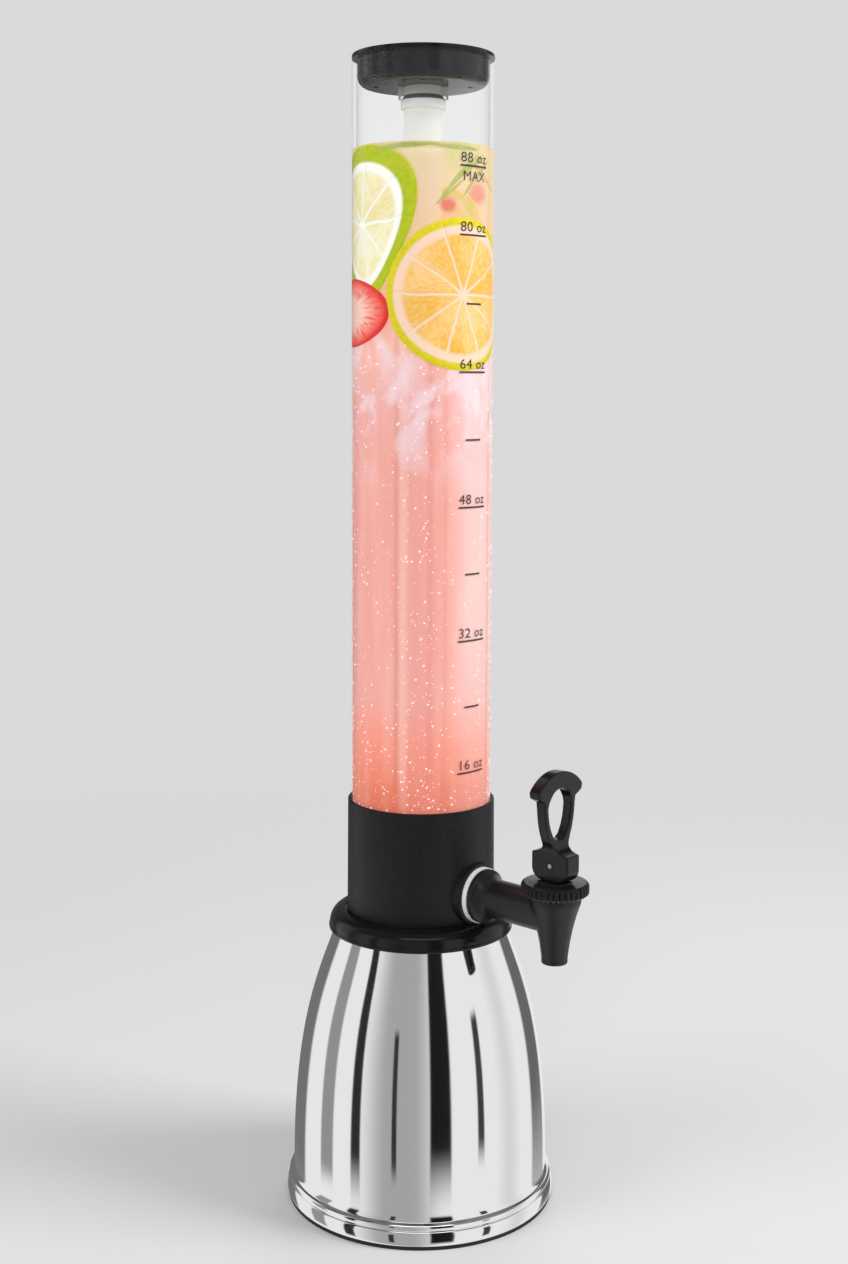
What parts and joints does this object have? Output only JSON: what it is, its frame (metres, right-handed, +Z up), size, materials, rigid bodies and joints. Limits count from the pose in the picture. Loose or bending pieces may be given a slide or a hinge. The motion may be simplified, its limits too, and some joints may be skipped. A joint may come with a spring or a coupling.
{
  "type": "drinks tower dispenser",
  "caption": "Clear tube drinks tower on a polished bell base, with a moulded collar, a self-closing lever tap, and a lift-out lid that carries an ice tube.",
  "frame": {"origin": "middle of the foot, on the surface that it stands on", "axes": "+Z up along the tower's axis, -Y from the tower towards the tap, +X to the right for someone who faces the tap"},
  "size_m": [0.1802, 0.2257, 0.7591],
  "materials": {
    "foot_rubber": "moulded rubber",
    "polished_steel": "mirror polished stainless sheet",
    "glossy_black": "moulded glossy black",
    "zinc_steel": "zinc plated",
    "textured_black": "fine spark texture",
    "brass": "turned brass",
    "clear_silicone": "translucent silicone",
    "clear_tube": "clear polycarbonate",
    "white_silicone": "white silicone",
    "satin_black": "satin moulded black",
    "white_nylon": "moulded white nylon",
    "grey_rubber": "grey rubber",
    "clear_core": "clear moulded plastic"
  },
  "bodies": {
    "tower": {"foot_ring": "foot_rubber", "bell_base": "polished_steel", "base_gasket": "foot_rubber", "base_cap": "glossy_black", "clamp_plate": "zinc_steel", "lock_washer": "zinc_steel", "tie_stud": "zinc_steel", "hand_nut": "textured_black", "collar": "textured_black", "threaded_insert": "brass", "tube_seal": "clear_silicone", "tower_tube": "clear_tube", "outer_washer": "white_silicone", "inner_washer": "white_silicone", "faucet_nut": "textured_black", "faucet_body": "satin_black", "seat_cup": "clear_silicone", "bonnet": "glossy_black"},
    "stem": {"stem": "white_nylon"},
    "lever": {"handle": "glossy_black", "handle_pin": "zinc_steel"},
    "lid": {"lid": "glossy_black", "core_socket": "white_nylon", "socket_nut": "white_nylon", "core_gasket": "grey_rubber", "ice_core": "clear_core"}
  },
  "joints": [
    {"name": "lid_lift", "type": "slide", "parent": "tower", "child": "lid", "axis": [0, 0, 1], "range_m": [0, 0.545]},
    {"name": "stem_lift", "type": "slide", "parent": "tower", "child": "stem", "axis": [0, 0, 1], "range_m": [0, 0.0034], "deforming": ["seat_cup"]},
    {"name": "handle_tilt", "type": "hinge", "parent": "stem", "child": "lever", "pos_m": [0, -0.114, 0.2466], "axis": [1, 0, 0], "range_deg": [0, 30], "stiffness_Nm_per_rad": 0.25, "springref_deg": -11.46}
  ],
  "couplings": [
    {"joint": "stem_lift", "follows": "handle_tilt", "m_per_rad": 0.00625}
  ]
}
